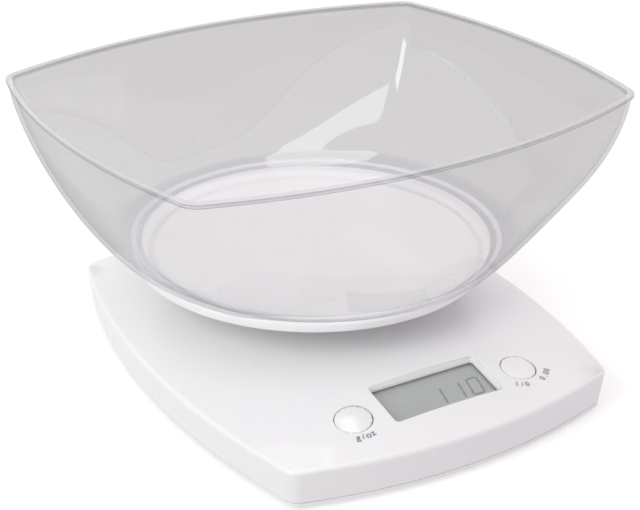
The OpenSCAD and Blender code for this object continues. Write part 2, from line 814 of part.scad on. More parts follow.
// Tube along a path of points, with flat ends square to it
function unit(v) = v / norm(v);
function tube_rings(path, r, sides) =
    [for (i = [0:len(path) - 1])
        let (t = unit(path[min(i + 1, len(path) - 1)] - path[max(i - 1, 0)]),
            u = unit(cross([0.31, 0.17, 0.93], t)),
            v = cross(t, u))
        [for (k = [0:sides - 1]) path[i] + r * (cos(360 * k / sides) * u + sin(360 * k / sides) * v)]];
function spring_path(r0, r1, turns, length, steps) =
    [for (i = [0:turns * steps])
        let (f = i / (turns * steps), r = r0 + (r1 - r0) * f)
        [r * cos(360 * turns * f), r * sin(360 * turns * f), length * f]];
// Conical contact spring between a plate at the box wall and a battery's flat end
module contact_spring() {
    wire = 0.3;
    free = 2 * (box_x - contact_t) - battery_l;
    translate([0, 0, wire - 0.1])
        loft(tube_rings(spring_path(3.7, 2.2, 3.5, free - 2 * wire, 10), wire, 6));
}
module contact_plate(width) {
    translate([-width / 2, -4.2, -contact_t]) cube([width, 8.4, contact_t]);
}
module bridge_contact() {
    color("silver") {
        translate([box_x - contact_t, battery_y, battery_z])
            rotate([0, -90, 0]) rotate(90) contact_plate(4 * cell_gap - 2);
        translate([box_x - contact_t, battery_y + cell_gap, battery_z])
            rotate([0, -90, 0]) contact_spring();
    }
}
module tab_contact(side) {
    translate([-box_x, battery_y + side * cell_gap - 4.2, battery_z - 4.2])
        cube([contact_t, 8.4, 8.4]);
    translate([-box_x, battery_y + side * cell_gap - 2, battery_z])
        cube([contact_t, 4, box_top + 3.6 - battery_z]);
}
module plus_contact() {
    color("silver") tab_contact(1);
}
module minus_contact() {
    color("silver") {
        tab_contact(-1);
        translate([-box_x + contact_t, battery_y - cell_gap, battery_z])
            rotate([0, 90, 0]) contact_spring();
    }
}

// Smooth curve through hand-chosen points
function curve_point(a, b, c, d, t) =
    0.5 * (2 * b + (c - a) * t + (2 * a - 5 * b + 4 * c - d) * t * t
        + (3 * b - a - 3 * c + d) * t * t * t);
function curve(p, steps) =
    concat([for (i = [0:len(p) - 2]) for (k = [0:steps - 1])
        curve_point(p[max(i - 1, 0)], p[i], p[i + 1], p[min(i + 2, len(p) - 1)], k / steps)],
        [p[len(p) - 1]]);
// A point given in the frame of the sloping front
function on_board(x, y, z) =
    [x, display_y + y * cos(tilt) - z * sin(tilt), display_z + y * sin(tilt) + z * cos(tilt)];
lead_r = 0.7;
pad_y = 13;
// Last stretch of a lead: over the board's rear edge and straight down to its pad
function to_pad(x) = [on_board(x, pad_y + 5, board_top + 7), on_board(x, pad_y + 0.6, board_top + 5.5),
    on_board(x, pad_y, board_top + 2.5), on_board(x, pad_y, board_top)];
// The first and last stretches stay straight, so the ends are square to what they meet
module lead(points) {
    last = len(points) - 1;
    middle = curve([for (i = [1:last - 1]) points[i]], 3);
    loft(tube_rings(concat([points[0]], middle, [points[last]]), lead_r, wire_sides));
}
module cell_lead() {
    side = platform_y - cell_s / 2;
    color("white")
    lead(concat([[0, side, cell_z + 10.5], [0, side - 2, cell_z + 10.5], [3, side - 9, 15],
        [20, case_y - 30, 12], [32, display_y + 40, 14]], to_pad(34)));
}
module battery_lead(side, x, c) {
    y0 = battery_y + side * cell_gap;
    z0 = box_top + 2.8;
    color(c)
    lead(concat([[-box_x, y0, z0], [-box_x - 1.5, y0, z0], [-46 - x, y0 - 8, 12],
        [-49 - x, case_y + 40, 8], [-49 - x, case_y - 10, 8], [-46 - x, display_y + 40, 12]],
        to_pad(-34 - x)));
}
module battery_lead_plus() {
    battery_lead(1, 3, "red");
}
module battery_lead_minus() {
    battery_lead(-1, 0, "black");
}

bottom_cover();
rubber_feet();
case_screws();
top_cover();
display_lens();
lcd_glass();
lcd_frame();
zebra_strips();
main_board();
chip_blob();
board_screws();
unit_button();
tare_button();
unit_switch();
tare_switch();
unit_switch_plunger();
tare_switch_plunger();
load_cell();
gauge_covers();
cell_base_plate();
cell_top_plate();
cell_base_screws();
cell_top_screws();
platform_hub();
hub_screws();
platform();
bowl();
battery_door();
battery_a();
battery_b();
bridge_contact();
plus_contact();
minus_contact();
cell_lead();
battery_lead_plus();
battery_lead_minus();
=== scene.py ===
import json
from math import atan2, cos, hypot, pi, radians, sin, sqrt

import bmesh
import bpy
from mathutils import Matrix, Vector


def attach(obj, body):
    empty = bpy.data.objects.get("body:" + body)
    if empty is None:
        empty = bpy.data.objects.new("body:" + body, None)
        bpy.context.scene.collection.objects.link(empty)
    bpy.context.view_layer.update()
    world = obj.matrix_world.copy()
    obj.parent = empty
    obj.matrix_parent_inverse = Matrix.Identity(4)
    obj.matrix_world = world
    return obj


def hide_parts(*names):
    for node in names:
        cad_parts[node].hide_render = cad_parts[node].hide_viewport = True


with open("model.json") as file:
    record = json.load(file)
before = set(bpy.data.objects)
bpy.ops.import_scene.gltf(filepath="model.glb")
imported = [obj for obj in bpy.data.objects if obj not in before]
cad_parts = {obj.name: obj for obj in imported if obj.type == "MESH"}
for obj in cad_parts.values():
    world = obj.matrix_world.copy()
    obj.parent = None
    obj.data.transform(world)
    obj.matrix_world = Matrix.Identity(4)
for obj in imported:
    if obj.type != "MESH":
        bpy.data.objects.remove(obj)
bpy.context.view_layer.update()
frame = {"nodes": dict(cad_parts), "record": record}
nodes = frame["nodes"]
mm = 0.001
bowlCentreY = 12.3626    # mm, 5 mm forward of the platform's centre


# small helpers

def toLinear(hexColour):
    parts = [int(hexColour[i:i + 2], 16) / 255 for i in (1, 3, 5)]
    return [p / 12.92 if p <= 0.04045 else ((p + 0.055) / 1.055) ** 2.4 for p in parts] + [1.0]


def perMetre(sizeInMm):
    return 1000.0 / sizeInMm    # texture scale for a feature of that size


def addNode(tree, kind, inputs=None, **settings):
    node = tree.nodes.new(kind)
    for key, value in settings.items():
        setattr(node, key, value)
    for key, value in (inputs or {}).items():
        if isinstance(value, bpy.types.NodeSocket):
            tree.links.new(value, node.inputs[key])
        else:
            node.inputs[key].default_value = value
    return node


def newMaterial(name):
    material = bpy.data.materials.new(name)
    material.use_nodes = True
    tree = material.node_tree
    tree.nodes.clear()
    output = addNode(tree, "ShaderNodeOutputMaterial")
    place = addNode(tree, "ShaderNodeTexCoord").outputs["Object"]
    return material, tree, output, place


def selectOnly(*objects):
    bpy.ops.object.select_all(action="DESELECT")
    for thing in objects:
        thing.select_set(True)
    bpy.context.view_layer.objects.active = objects[0]


def paint(thing, material):
    thing.data.materials.clear()
    thing.data.materials.append(material)


def selectVerts(piece, chosen):
    # in edit mode: selects the vertices whose place, in metres, passes the test
    mesh = bmesh.from_edit_mesh(piece.data)
    for vert in mesh.verts:
        vert.select = bool(chosen(vert.co))
    mesh.select_flush_mode()
    bmesh.update_edit_mesh(piece.data)


def applyPlace(thing):
    selectOnly(thing)
    bpy.ops.object.transform_apply(location=True, rotation=True, scale=True)


def joinAs(name, things):
    selectOnly(*things)
    if len(things) > 1:
        bpy.ops.object.join()
    joined = bpy.context.view_layer.objects.active
    joined.name = name
    joined.data.name = name
    return joined


# camera

cameraFit = {
    "azimuth": -30.42, "elevation": 24.77, "roll": 0.62, "yaw": 0.37, "pitch": 1.46,
    "distance": 0.67023, "aim": (0, 0.0173626, 0.0615), "lens": 80.75,
}


def placeCamera(fit):
    az, el = radians(fit["azimuth"]), radians(fit["elevation"])
    roll, yaw, pitch = radians(fit["roll"]), radians(fit["yaw"]), radians(fit["pitch"])
    back = Vector((sin(az) * cos(el), -cos(az) * cos(el), sin(el)))
    right = Vector((cos(az), sin(az), 0))
    up = back.cross(right)
    level = Matrix((right, up, back))
    turnY = Matrix(((cos(yaw), 0, sin(yaw)), (0, 1, 0), (-sin(yaw), 0, cos(yaw))))
    turnX = Matrix(((1, 0, 0), (0, cos(pitch), -sin(pitch)), (0, sin(pitch), cos(pitch))))
    turnZ = Matrix(((cos(roll), sin(roll), 0), (-sin(roll), cos(roll), 0), (0, 0, 1)))
    facing = (turnZ @ turnX @ turnY @ level).transposed()
    data = bpy.data.cameras.new("photoCamera")
    data.lens = fit["lens"]
    data.sensor_width = 36
    data.sensor_fit = "HORIZONTAL"
    data.clip_start = 0.01
    camera = bpy.data.objects.new("photoCamera", data)
    bpy.context.scene.collection.objects.link(camera)
    camera.matrix_world = Matrix.Translation(Vector(fit["aim"]) + fit["distance"] * back) @ facing.to_4x4()
    bpy.context.scene.camera = camera


placeCamera(cameraFit)
bpy.context.scene.view_settings.view_transform = "Standard"
print("camera placed")


# studio

studio = {
    "fillColour": "#FFF8FD",
    "fill": 0.83,               # world light on the object
    "worldThroughBowl": 0.15,   # share of the world's white seen through the clear bowl
    "floorColour": "#E0E1E0",
    "floorMottle": "#E3E4E3",
    "floorLift": 0.36,          # added for what the camera sees, so that the floor reads white
    "floorThroughBowl": 0.0,    # share of that lift seen through the clear bowl: there the floor reads grey
    "floorBounce": "#DCDCDC",   # what the floor lets up of the world's light, in place of a bounce
    "floorSize": 12,
    "floorBelow": 0.0001,
}
lamps = {
    # the strips are seen in reflections only, and the front lamp isn't seen in them
    # turn is in degrees about the lamp's own beam
    "overheadStrip": {"place": (0.1, -0.35, 1.25), "aim": (0.1, -0.35, 0), "size": (0.35, 1.85), "watts": 4.8,
                      "turn": -11, "colour": "#FAFFFB", "lights": False, "mirrored": True},
    "leftSoftbox": {"place": (-1.25, -0.35, 1.0), "aim": (0, 0, 0.05), "size": (0.8, 0.8), "watts": 8.4,
                    "turn": 0, "colour": "#F2FFF5", "lights": True, "mirrored": True},
    "leftFrontLamp": {"place": (-0.6, -0.5, 0.12), "aim": (-0.09, -0.08, 0.01), "size": (0.25, 0.2),
                      "watts": 0.22, "turn": 0, "colour": "#F2FFF5", "lights": True, "mirrored": False},
    "backStrip": {"place": (0.765, 1.155, 0.687), "aim": (0.027, 0.011, 0.057), "size": (0.1, 0.03),
                  "watts": 0.004, "turn": 35, "colour": "#FFFFFF", "lights": False, "mirrored": True},
}


def seenRays(tree, throughBowl):
    # 1 for what the camera sees directly or in a reflection, less for what it sees through clear plastic
    path = addNode(tree, "ShaderNodeLightPath").outputs
    first = addNode(tree, "ShaderNodeMath", {0: path["Is Camera Ray"], 1: path["Is Glossy Ray"]},
                    operation="MAXIMUM")
    clearWay = addNode(tree, "ShaderNodeMath", {0: path["Transparent Depth"], 1: 0.5}, operation="LESS_THAN")
    share = addNode(tree, "ShaderNodeMapRange", {"Value": clearWay.outputs[0], "To Min": throughBowl,
                                                 "To Max": 1.0})
    direct = addNode(tree, "ShaderNodeMath", {0: first.outputs[0], 1: share.outputs[0]}, operation="MULTIPLY")
    soft = addNode(tree, "ShaderNodeMath", {0: path["Is Transmission Ray"], 1: throughBowl},
                   operation="MULTIPLY")
    seen = addNode(tree, "ShaderNodeMath", {0: direct.outputs[0], 1: soft.outputs[0]}, operation="MAXIMUM")
    return seen.outputs[0]


def lightWorld():
    world = bpy.data.worlds.new("whiteStudio")
    bpy.context.scene.world = world
    world.use_nodes = True
    tree = world.node_tree
    tree.nodes.clear()
    light = addNode(tree, "ShaderNodeBackground", {"Color": toLinear(studio["fillColour"]),
                                                   "Strength": studio["fill"]})
    white = addNode(tree, "ShaderNodeBackground", {"Color": (1, 1, 1, 1), "Strength": 1.0})
    mix = addNode(tree, "ShaderNodeMixShader", {0: seenRays(tree, studio["worldThroughBowl"]),
                                                1: light.outputs[0], 2: white.outputs[0]})
    addNode(tree, "ShaderNodeOutputWorld", {"Surface": mix.outputs[0]})


def addLamp(name, made):
    data = bpy.data.lights.new(name, "AREA")
    data.shape = "RECTANGLE"
    data.size, data.size_y = made["size"]
    data.energy = made["watts"]
    data.color = toLinear(made["colour"])[:3]
    lamp = bpy.data.objects.new(name, data)
    bpy.context.scene.collection.objects.link(lamp)
    lamp.location = made["place"]
    lamp.visible_diffuse = made["lights"]
    lamp.visible_glossy = made["mirrored"]
    aimed = (Vector(made["aim"]) - Vector(made["place"])).to_track_quat("-Z", "Y")
    lamp.rotation_euler = (aimed @ Matrix.Rotation(radians(made["turn"]), 3, "Z").to_quaternion()).to_euler()


def layFloor():
    # matt paper floor: even, with a faint mottle
    bpy.ops.object.select_all(action="DESELECT")
    bpy.ops.mesh.primitive_plane_add(size=studio["floorSize"], location=(0, 0, -studio["floorBelow"]))
    floor = bpy.context.active_object
    floor.name = "studioFloor"
    material, tree, output, place = newMaterial("paleStudioPaper")
    mottle = addNode(tree, "ShaderNodeTexNoise", {"Vector": place, "Scale": perMetre(60), "Detail": 3})
    tone = addNode(tree, "ShaderNodeMix", {0: mottle.outputs[0], 6: toLinear(studio["floorColour"]),
                                           7: toLinear(studio["floorMottle"])}, data_type="RGBA")
    paper = addNode(tree, "ShaderNodeBsdfDiffuse", {"Color": tone.outputs[2]})
    seen = seenRays(tree, studio["floorThroughBowl"])
    lift = addNode(tree, "ShaderNodeMath", {0: seen, 1: studio["floorLift"]}, operation="MULTIPLY")
    glow = addNode(tree, "ShaderNodeEmission", {"Color": (1, 1, 1, 1), "Strength": lift.outputs[0]})
    both = addNode(tree, "ShaderNodeAddShader", {0: paper.outputs[0], 1: glow.outputs[0]})
    # it lets the world's light up instead of bouncing it, and from below it is left out: that way the
    # underside can be looked at
    bounced = addNode(tree, "ShaderNodeBsdfTransparent", {"Color": toLinear(studio["floorBounce"])})
    clear = addNode(tree, "ShaderNodeBsdfTransparent")
    bouncing = addNode(tree, "ShaderNodeLightPath").outputs["Is Diffuse Ray"]
    above = addNode(tree, "ShaderNodeMixShader", {0: bouncing, 1: both.outputs[0], 2: bounced.outputs[0]})
    fromBelow = addNode(tree, "ShaderNodeNewGeometry").outputs["Backfacing"]
    surface = addNode(tree, "ShaderNodeMixShader", {0: fromBelow, 1: above.outputs[0], 2: clear.outputs[0]})
    tree.links.new(surface.outputs[0], output.inputs["Surface"])
    paint(floor, material)


lightWorld()
for lampName, lampMade in lamps.items():
    addLamp(lampName, lampMade)
layFloor()
print("studio ready")


# materials

def mouldedPlastic(name, hexColour, shade, roughness, grainMm, grainDepthMm, coat=0.0, ior=1.53,
                   lightThrough=0.0):
    # injection-moulded plastic: even colour with a very faint flow mottle, gloss broken by a fine
    # grain from the tool's surface
    material, tree, output, place = newMaterial(name)
    flow = addNode(tree, "ShaderNodeTexNoise", {"Vector": place, "Scale": perMetre(45), "Detail": 2})
    colour = addNode(tree, "ShaderNodeMix", {0: flow.outputs[0], 6: toLinear(hexColour), 7: toLinear(shade)},
                     data_type="RGBA")
    grain = addNode(tree, "ShaderNodeTexNoise", {"Vector": place, "Scale": perMetre(grainMm), "Detail": 3,
                                                 "Roughness": 0.6})
    sheen = addNode(tree, "ShaderNodeMapRange", {"Value": grain.outputs[0], "From Min": 0.3, "From Max": 0.7,
                                                 "To Min": roughness - 0.04, "To Max": roughness + 0.05})
    bump = addNode(tree, "ShaderNodeBump", {"Height": grain.outputs[0], "Strength": 0.4,
                                            "Distance": grainDepthMm * mm})
    shader = addNode(tree, "ShaderNodeBsdfPrincipled", {
        "Base Color": colour.outputs[2], "Roughness": sheen.outputs[0], "IOR": ior, "Normal": bump.outputs[0],
        "Coat Weight": coat, "Coat Roughness": 0.08, "Coat IOR": 1.5,
        "Subsurface Weight": lightThrough, "Subsurface Radius": (1.0, 0.9, 0.85), "Subsurface Scale": 1.2 * mm})
    tree.links.new(shader.outputs[0], output.inputs["Surface"])
    return material


bowlTones = {
    # zones in mm of height or radius (from, to, soft edge), and how much painted pale white each has: a matt
    # white that stands for the light the clear plastic gathers there by refraction
    "baseDisc": (-1, 80.5, 0.3), "baseFloor": (55.2, 56.3, 0.1), "basePaintedPale": 0.5,
    "ringDisc": (82.0, 85.6, 0.3), "ringFloor": (57.4, 58.2, 0.3), "ringPaintedPale": 0.45,
    "footHeight": (40, 53.3, 0.2), "footPaintedPale": 0.25,
    "lipTop": (129.0, 200, 0.3), "lipPaintedPale": 0.4,
    # the corner round the base and the lip's side carry painted grey shade, for the refraction there
    "cornerDisc": (81.0, 200, 0.3), "cornerHeight": (40, 59.5, 1.5), "cornerPaintedShade": "#F1F1F3",
    "lipSide": (126.9, 128.7, 0.2), "lipSidePaintedShade": "#E2E2E4",
    "clearHeight": (40, 57, 0.5),
    "faceOn": "#F9F9F9", "skimmed": "#E1E1E2", "paintedPaleWhite": "#F6F6F7", "passed": "#FDFDFD",
    "mirrorMost": 0.2,
}


def clearBowl():
    # clear styrene, moulded and polished: a faint grey body that deepens where the eye skims the wall, sharp
    # reflections, a trace of ripple from the mould, painted pale white on the lip, base and foot for the light
    # that gathers there, and painted grey shade for the refraction in the corner round the base and on the
    # lip's side
    t = bowlTones
    material, tree, output, place = newMaterial("clearStyreneBowl")
    ripple = addNode(tree, "ShaderNodeTexNoise", {"Vector": place, "Scale": perMetre(38), "Detail": 1})
    bump = addNode(tree, "ShaderNodeBump", {"Height": ripple.outputs[0], "Strength": 0.25,
                                            "Distance": 0.12 * mm})
    haze = addNode(tree, "ShaderNodeTexNoise", {"Vector": place, "Scale": perMetre(6), "Detail": 2})
    rough = addNode(tree, "ShaderNodeMapRange", {"Value": haze.outputs[0], "From Min": 0.3, "From Max": 0.7,
                                                 "To Min": 0.015, "To Max": 0.04})
    height = addNode(tree, "ShaderNodeSeparateXYZ", {"Vector": place}).outputs["Z"]
    facing = addNode(tree, "ShaderNodeLayerWeight", {"Blend": 0.35, "Normal": bump.outputs[0]})
    skim = addNode(tree, "ShaderNodeMath", {0: facing.outputs["Facing"], 1: 2.5}, operation="POWER")
    wallTint = addNode(tree, "ShaderNodeMix", {0: skim.outputs[0], 6: toLinear(t["faceOn"]),
                                               7: toLinear(t["skimmed"])}, data_type="RGBA")
    centred = addNode(tree, "ShaderNodeMapping", {"Vector": place, "Location": (0, -bowlCentreY * mm, 0),
                                                  "Scale": (1, 1, 0)})
    radius = addNode(tree, "ShaderNodeVectorMath", {0: centred.outputs[0]}, operation="LENGTH").outputs["Value"]

    def within(value, zone):
        # 1 inside the zone, falling to 0 over its soft edge
        low, high, edge = zone
        rise = addNode(tree, "ShaderNodeMapRange", {"Value": value, "From Min": (low - edge) * mm,
                                                    "From Max": low * mm})
        fall = addNode(tree, "ShaderNodeMapRange", {"Value": value, "From Min": (high + edge) * mm,
                                                    "From Max": high * mm})
        inside = addNode(tree, "ShaderNodeMath", {0: rise.outputs[0], 1: fall.outputs[0]}, operation="MULTIPLY")
        return inside.outputs[0]

    def both(a, b, share=1.0):
        part = addNode(tree, "ShaderNodeMath", {0: a, 1: b}, operation="MULTIPLY")
        return addNode(tree, "ShaderNodeMath", {0: part.outputs[0], 1: share}, operation="MULTIPLY").outputs[0]

    def tinted(where, below, over):
        return addNode(tree, "ShaderNodeMix", {0: where, 6: below, 7: over}, data_type="RGBA").outputs[2]

    # the corner round the base, where the wall is thick, and the lip's side get a painted grey shade for the
    # refraction there; the flat base is clearer
    tint = tinted(both(within(radius, t["cornerDisc"]), within(height, t["cornerHeight"])), wallTint.outputs[2],
                  toLinear(t["cornerPaintedShade"]))
    tint = tinted(within(height, t["lipSide"]), tint, toLinear(t["lipSidePaintedShade"]))
    tint = tinted(both(within(radius, t["baseDisc"]), within(height, t["clearHeight"])), tint, (1, 1, 1, 1))
    thin = addNode(tree, "ShaderNodeBsdfTransparent", {"Color": tint})
    gloss = addNode(tree, "ShaderNodeBsdfGlossy", {"Color": (1, 1, 1, 1), "Roughness": rough.outputs[0],
                                                   "Normal": bump.outputs[0]})
    mirror = addNode(tree, "ShaderNodeFresnel", {"IOR": 1.7, "Normal": bump.outputs[0]})
    inner = addNode(tree, "ShaderNodeNewGeometry").outputs["Backfacing"]
    outside = addNode(tree, "ShaderNodeMath", {0: 1.0, 1: inner}, operation="SUBTRACT")
    # the mirror is held back at the outline, which stays grey against the white studio
    held = addNode(tree, "ShaderNodeMath", {0: mirror.outputs[0], 1: t["mirrorMost"]}, operation="MINIMUM")
    share = addNode(tree, "ShaderNodeMath", {0: held.outputs[0], 1: outside.outputs[0]}, operation="MULTIPLY")
    wall = addNode(tree, "ShaderNodeMixShader", {0: share.outputs[0], 1: thin.outputs[0], 2: gloss.outputs[0]})
    # the lip, the base and the foot ring get a painted matt white, a painted highlight for the light they
    # gather, so they read paler than the wall
    # painted pale white: a diffuse white mixed in by zone, standing for light gathered by refraction
    paintedPaleWhite = addNode(tree, "ShaderNodeBsdfDiffuse", {"Color": toLinear(t["paintedPaleWhite"])})
    paintedPaleShare = 0.0
    for part in (both(within(height, t["lipTop"]), 1.0, t["lipPaintedPale"]),
                 both(within(height, t["baseFloor"]), within(radius, t["baseDisc"]), t["basePaintedPale"]),
                 both(within(height, t["ringFloor"]), within(radius, t["ringDisc"]), t["ringPaintedPale"]),
                 both(within(height, t["footHeight"]), 1.0, t["footPaintedPale"])):
        paintedPaleShare = addNode(tree, "ShaderNodeMath", {0: paintedPaleShare, 1: part}, operation="ADD").outputs[0]
    body = addNode(tree, "ShaderNodeMixShader", {0: paintedPaleShare, 1: wall.outputs[0], 2: paintedPaleWhite.outputs[0]})
    # light passes on to what stands below the bowl instead of stopping in a dark shadow
    through = addNode(tree, "ShaderNodeBsdfTransparent", {"Color": toLinear(t["passed"])})
    path = addNode(tree, "ShaderNodeLightPath").outputs
    passing = addNode(tree, "ShaderNodeMath", {0: path["Is Shadow Ray"], 1: path["Is Diffuse Ray"]},
                      operation="MAXIMUM")
    mix = addNode(tree, "ShaderNodeMixShader", {0: passing.outputs[0], 1: body.outputs[0],
                                                2: through.outputs[0]})
    tree.links.new(mix.outputs[0], output.inputs["Surface"])
    return material


def clearWindow():
    # flat acrylic window: nearly no colour, mirror gloss
    material, tree, output, place = newMaterial("clearAcrylicWindow")
    dust = addNode(tree, "ShaderNodeTexNoise", {"Vector": place, "Scale": perMetre(1.5), "Detail": 4})
    rough = addNode(tree, "ShaderNodeMapRange", {"Value": dust.outputs[0], "From Min": 0.35, "From Max": 0.7,
                                                 "To Min": 0.01, "To Max": 0.05})
    gloss = addNode(tree, "ShaderNodeBsdfGlossy", {"Color": (1, 1, 1, 1), "Roughness": rough.outputs[0]})
    through = addNode(tree, "ShaderNodeBsdfTransparent", {"Color": toLinear("#F4F5F5")})
    edge = addNode(tree, "ShaderNodeFresnel", {"IOR": 1.49})
    inner = addNode(tree, "ShaderNodeNewGeometry").outputs["Backfacing"]
    outside = addNode(tree, "ShaderNodeMath", {0: 1.0, 1: inner}, operation="SUBTRACT")
    share = addNode(tree, "ShaderNodeMath", {0: edge.outputs[0], 1: outside.outputs[0]}, operation="MULTIPLY")
    mix = addNode(tree, "ShaderNodeMixShader", {0: share.outputs[0], 1: through.outputs[0],
                                                2: gloss.outputs[0]})
    tree.links.new(mix.outputs[0], output.inputs["Surface"])
    return material


def displayGlass():
    # reflective display glass: grey-green, finely sparkled back film
    material, tree, output, place = newMaterial("displayGlassGreyGreen")
    film = addNode(tree, "ShaderNodeTexNoise", {"Vector": place, "Scale": perMetre(0.35), "Detail": 3})
    cloud = addNode(tree, "ShaderNodeTexNoise", {"Vector": place, "Scale": perMetre(30), "Detail": 1})
    blend = addNode(tree, "ShaderNodeMix", {0: film.outputs[0], 2: cloud.outputs[0], 3: film.outputs[0]},
                    data_type="FLOAT")
    colour = addNode(tree, "ShaderNodeMix", {0: blend.outputs[0], 6: toLinear("#D2D5D0"),
                                             7: toLinear("#DADCD8")}, data_type="RGBA")
    shader = addNode(tree, "ShaderNodeBsdfPrincipled", {
        "Base Color": colour.outputs[2], "Roughness": 0.3, "IOR": 1.52, "Coat Weight": 0.6,
        "Coat Roughness": 0.03})
    tree.links.new(shader.outputs[0], output.inputs["Surface"])
    return material


def metal(name, hexColour, roughness, grainMm, stretch, depthMm):
    # machined, plated or drawn metal: bright, with fine lines along one direction
    material, tree, output, place = newMaterial(name)
    turned = addNode(tree, "ShaderNodeMapping", {"Vector": place, "Scale": stretch})
    lines = addNode(tree, "ShaderNodeTexNoise", {"Vector": turned.outputs[0], "Scale": perMetre(grainMm),
                                                 "Detail": 4})
    spread = addNode(tree, "ShaderNodeMapRange", {"Value": lines.outputs[0], "From Min": 0.3, "From Max": 0.7,
                                                  "To Min": roughness - 0.07, "To Max": roughness + 0.08})
    level = addNode(tree, "ShaderNodeMapRange", {"Value": lines.outputs[0], "To Min": 0.9, "To Max": 1.06})
    tone = addNode(tree, "ShaderNodeHueSaturation", {"Color": toLinear(hexColour), "Value": level.outputs[0]})
    bump = addNode(tree, "ShaderNodeBump", {"Height": lines.outputs[0], "Strength": 0.5,
                                            "Distance": depthMm * mm})
    shader = addNode(tree, "ShaderNodeBsdfPrincipled", {
        "Base Color": tone.outputs[0], "Metallic": 1.0, "Roughness": spread.outputs[0],
        "Normal": bump.outputs[0]})
    tree.links.new(shader.outputs[0], output.inputs["Surface"])
    return material


def circuitBoard():
    # green solder mask over copper tracks on glass laminate
    material, tree, output, place = newMaterial("solderMaskGreen")
    tracks = addNode(tree, "ShaderNodeTexBrick", {
        "Vector": place, "Scale": perMetre(9), "Color1": toLinear("#1E5A34"), "Color2": toLinear("#256A3D"),
        "Mortar": toLinear("#164526"), "Mortar Size": 0.05, "Brick Width": 0.9, "Row Height": 0.22})
    weave = addNode(tree, "ShaderNodeTexWave", {"Vector": place, "Scale": perMetre(3), "Distortion": 0.6})
    bump = addNode(tree, "ShaderNodeBump", {"Height": tracks.outputs["Fac"], "Strength": 0.5,
                                            "Distance": 0.05 * mm})
    rough = addNode(tree, "ShaderNodeMapRange", {"Value": weave.outputs[0], "To Min": 0.28, "To Max": 0.36})
    shader = addNode(tree, "ShaderNodeBsdfPrincipled", {
        "Base Color": tracks.outputs[0], "Roughness": rough.outputs[0], "Normal": bump.outputs[0]})
    tree.links.new(shader.outputs[0], output.inputs["Surface"])
    return material


finishes = {
    # satin-gloss moulded ABS: soft wide highlights, a grain of about half a millimetre
    "caseWhite": mouldedPlastic("satinAbsCase", "#EEEEEF", "#F0F0F1", 0.30, 0.7, 0.006, coat=0.15,
                                lightThrough=0.05),
    "platformWhite": mouldedPlastic("polishedAbsPlatform", "#EFEFF0", "#F1F1F2", 0.24, 0.7, 0.004, coat=0.2,
                                    lightThrough=0.05),
    "buttonWhite": mouldedPlastic("polishedAbsButtons", "#EDEDEE", "#F0F0F0", 0.18, 0.6, 0.003, coat=0.35),
    "hubWhite": mouldedPlastic("matteAbsHub", "#D4D4D4", "#DADADA", 0.5, 0.6, 0.02),
    "footRubber": mouldedPlastic("mouldedRubberFeet", "#58585A", "#636365", 0.75, 0.8, 0.05, ior=1.5),
    "frameIvory": mouldedPlastic("ivoryDisplayFrame", "#D9D6CC", "#DEDBD2", 0.45, 0.5, 0.01),
    "zebraRubber": mouldedPlastic("layeredSiliconeStrip", "#3C3C42", "#515158", 0.6, 0.3, 0.02, ior=1.43),
    "resinBlack": mouldedPlastic("blackMouldingResin", "#1D1D1E", "#262627", 0.45, 0.4, 0.02),
    "plungerBrown": mouldedPlastic("brownSwitchPlunger", "#4A2B1D", "#553324", 0.4, 0.4, 0.01),
    "gaugeSilicone": mouldedPlastic("whiteGaugeSilicone", "#E4E4DF", "#ECECE8", 0.4, 1.2, 0.08, ior=1.43),
    "batteryJacket": mouldedPlastic("shrinkSleeveGrey", "#55595F", "#5E6268", 0.28, 1.0, 0.01, coat=0.4),
    "leadWhite": mouldedPlastic("softVinylWhite", "#DADADA", "#E2E2E2", 0.4, 0.4, 0.01),
    "leadRed": mouldedPlastic("softVinylRed", "#A01D1D", "#AC2626", 0.4, 0.4, 0.01),
    "leadBlack": mouldedPlastic("softVinylBlack", "#1C1C1C", "#262626", 0.4, 0.4, 0.01),
    "legendGrey": mouldedPlastic("padPrintedGrey", "#6C6970", "#76737A", 0.5, 0.3, 0.004),
    "digitGrey": mouldedPlastic("displayDigitGrey", "#A2A8A4", "#A8AEAA", 0.4, 0.3, 0.002),
    "screwSteel": metal("zincPlatedSteel", "#B4B6BC", 0.32, 0.5, (1, 1, 1), 0.01),
    "cellAluminium": metal("milledAluminiumBar", "#CFD1D6", 0.34, 0.25, (0.05, 1, 1), 0.01),
    "contactNickel": metal("nickelPlatedSpring", "#C6C2BA", 0.2, 0.3, (1, 1, 1), 0.006),
    "windowClear": clearWindow(),
    "bowlClear": clearBowl(),
    "displayGlass": displayGlass(),
    "boardGreen": circuitBoard(),
}

nodeFinish = {
    "bottom_cover": "caseWhite", "top_cover": "caseWhite", "battery_door": "caseWhite",
    "platform": "platformWhite", "unit_button": "buttonWhite", "tare_button": "buttonWhite",
    "platform_hub": "hubWhite", "rubber_feet": "footRubber",
    "case_screws": "screwSteel", "board_screws": "screwSteel", "cell_base_screws": "screwSteel",
    "cell_top_screws": "screwSteel", "hub_screws": "screwSteel", "cell_base_plate": "screwSteel",
    "cell_top_plate": "screwSteel", "display_lens": "windowClear", "lcd_glass": "displayGlass",
    "lcd_frame": "frameIvory", "zebra_strips": "zebraRubber", "main_board": "boardGreen",
    "chip_blob": "resinBlack", "unit_switch": "resinBlack", "tare_switch": "resinBlack",
    "unit_switch_plunger": "plungerBrown", "tare_switch_plunger": "plungerBrown",
    "load_cell": "cellAluminium", "gauge_covers": "gaugeSilicone",
    "bowl": "bowlClear", "battery_a": "batteryJacket", "battery_b": "batteryJacket",
    "bridge_contact": "contactNickel", "plus_contact": "contactNickel", "minus_contact": "contactNickel",
    "cell_lead": "leadWhite", "battery_lead_plus": "leadRed", "battery_lead_minus": "leadBlack",
}
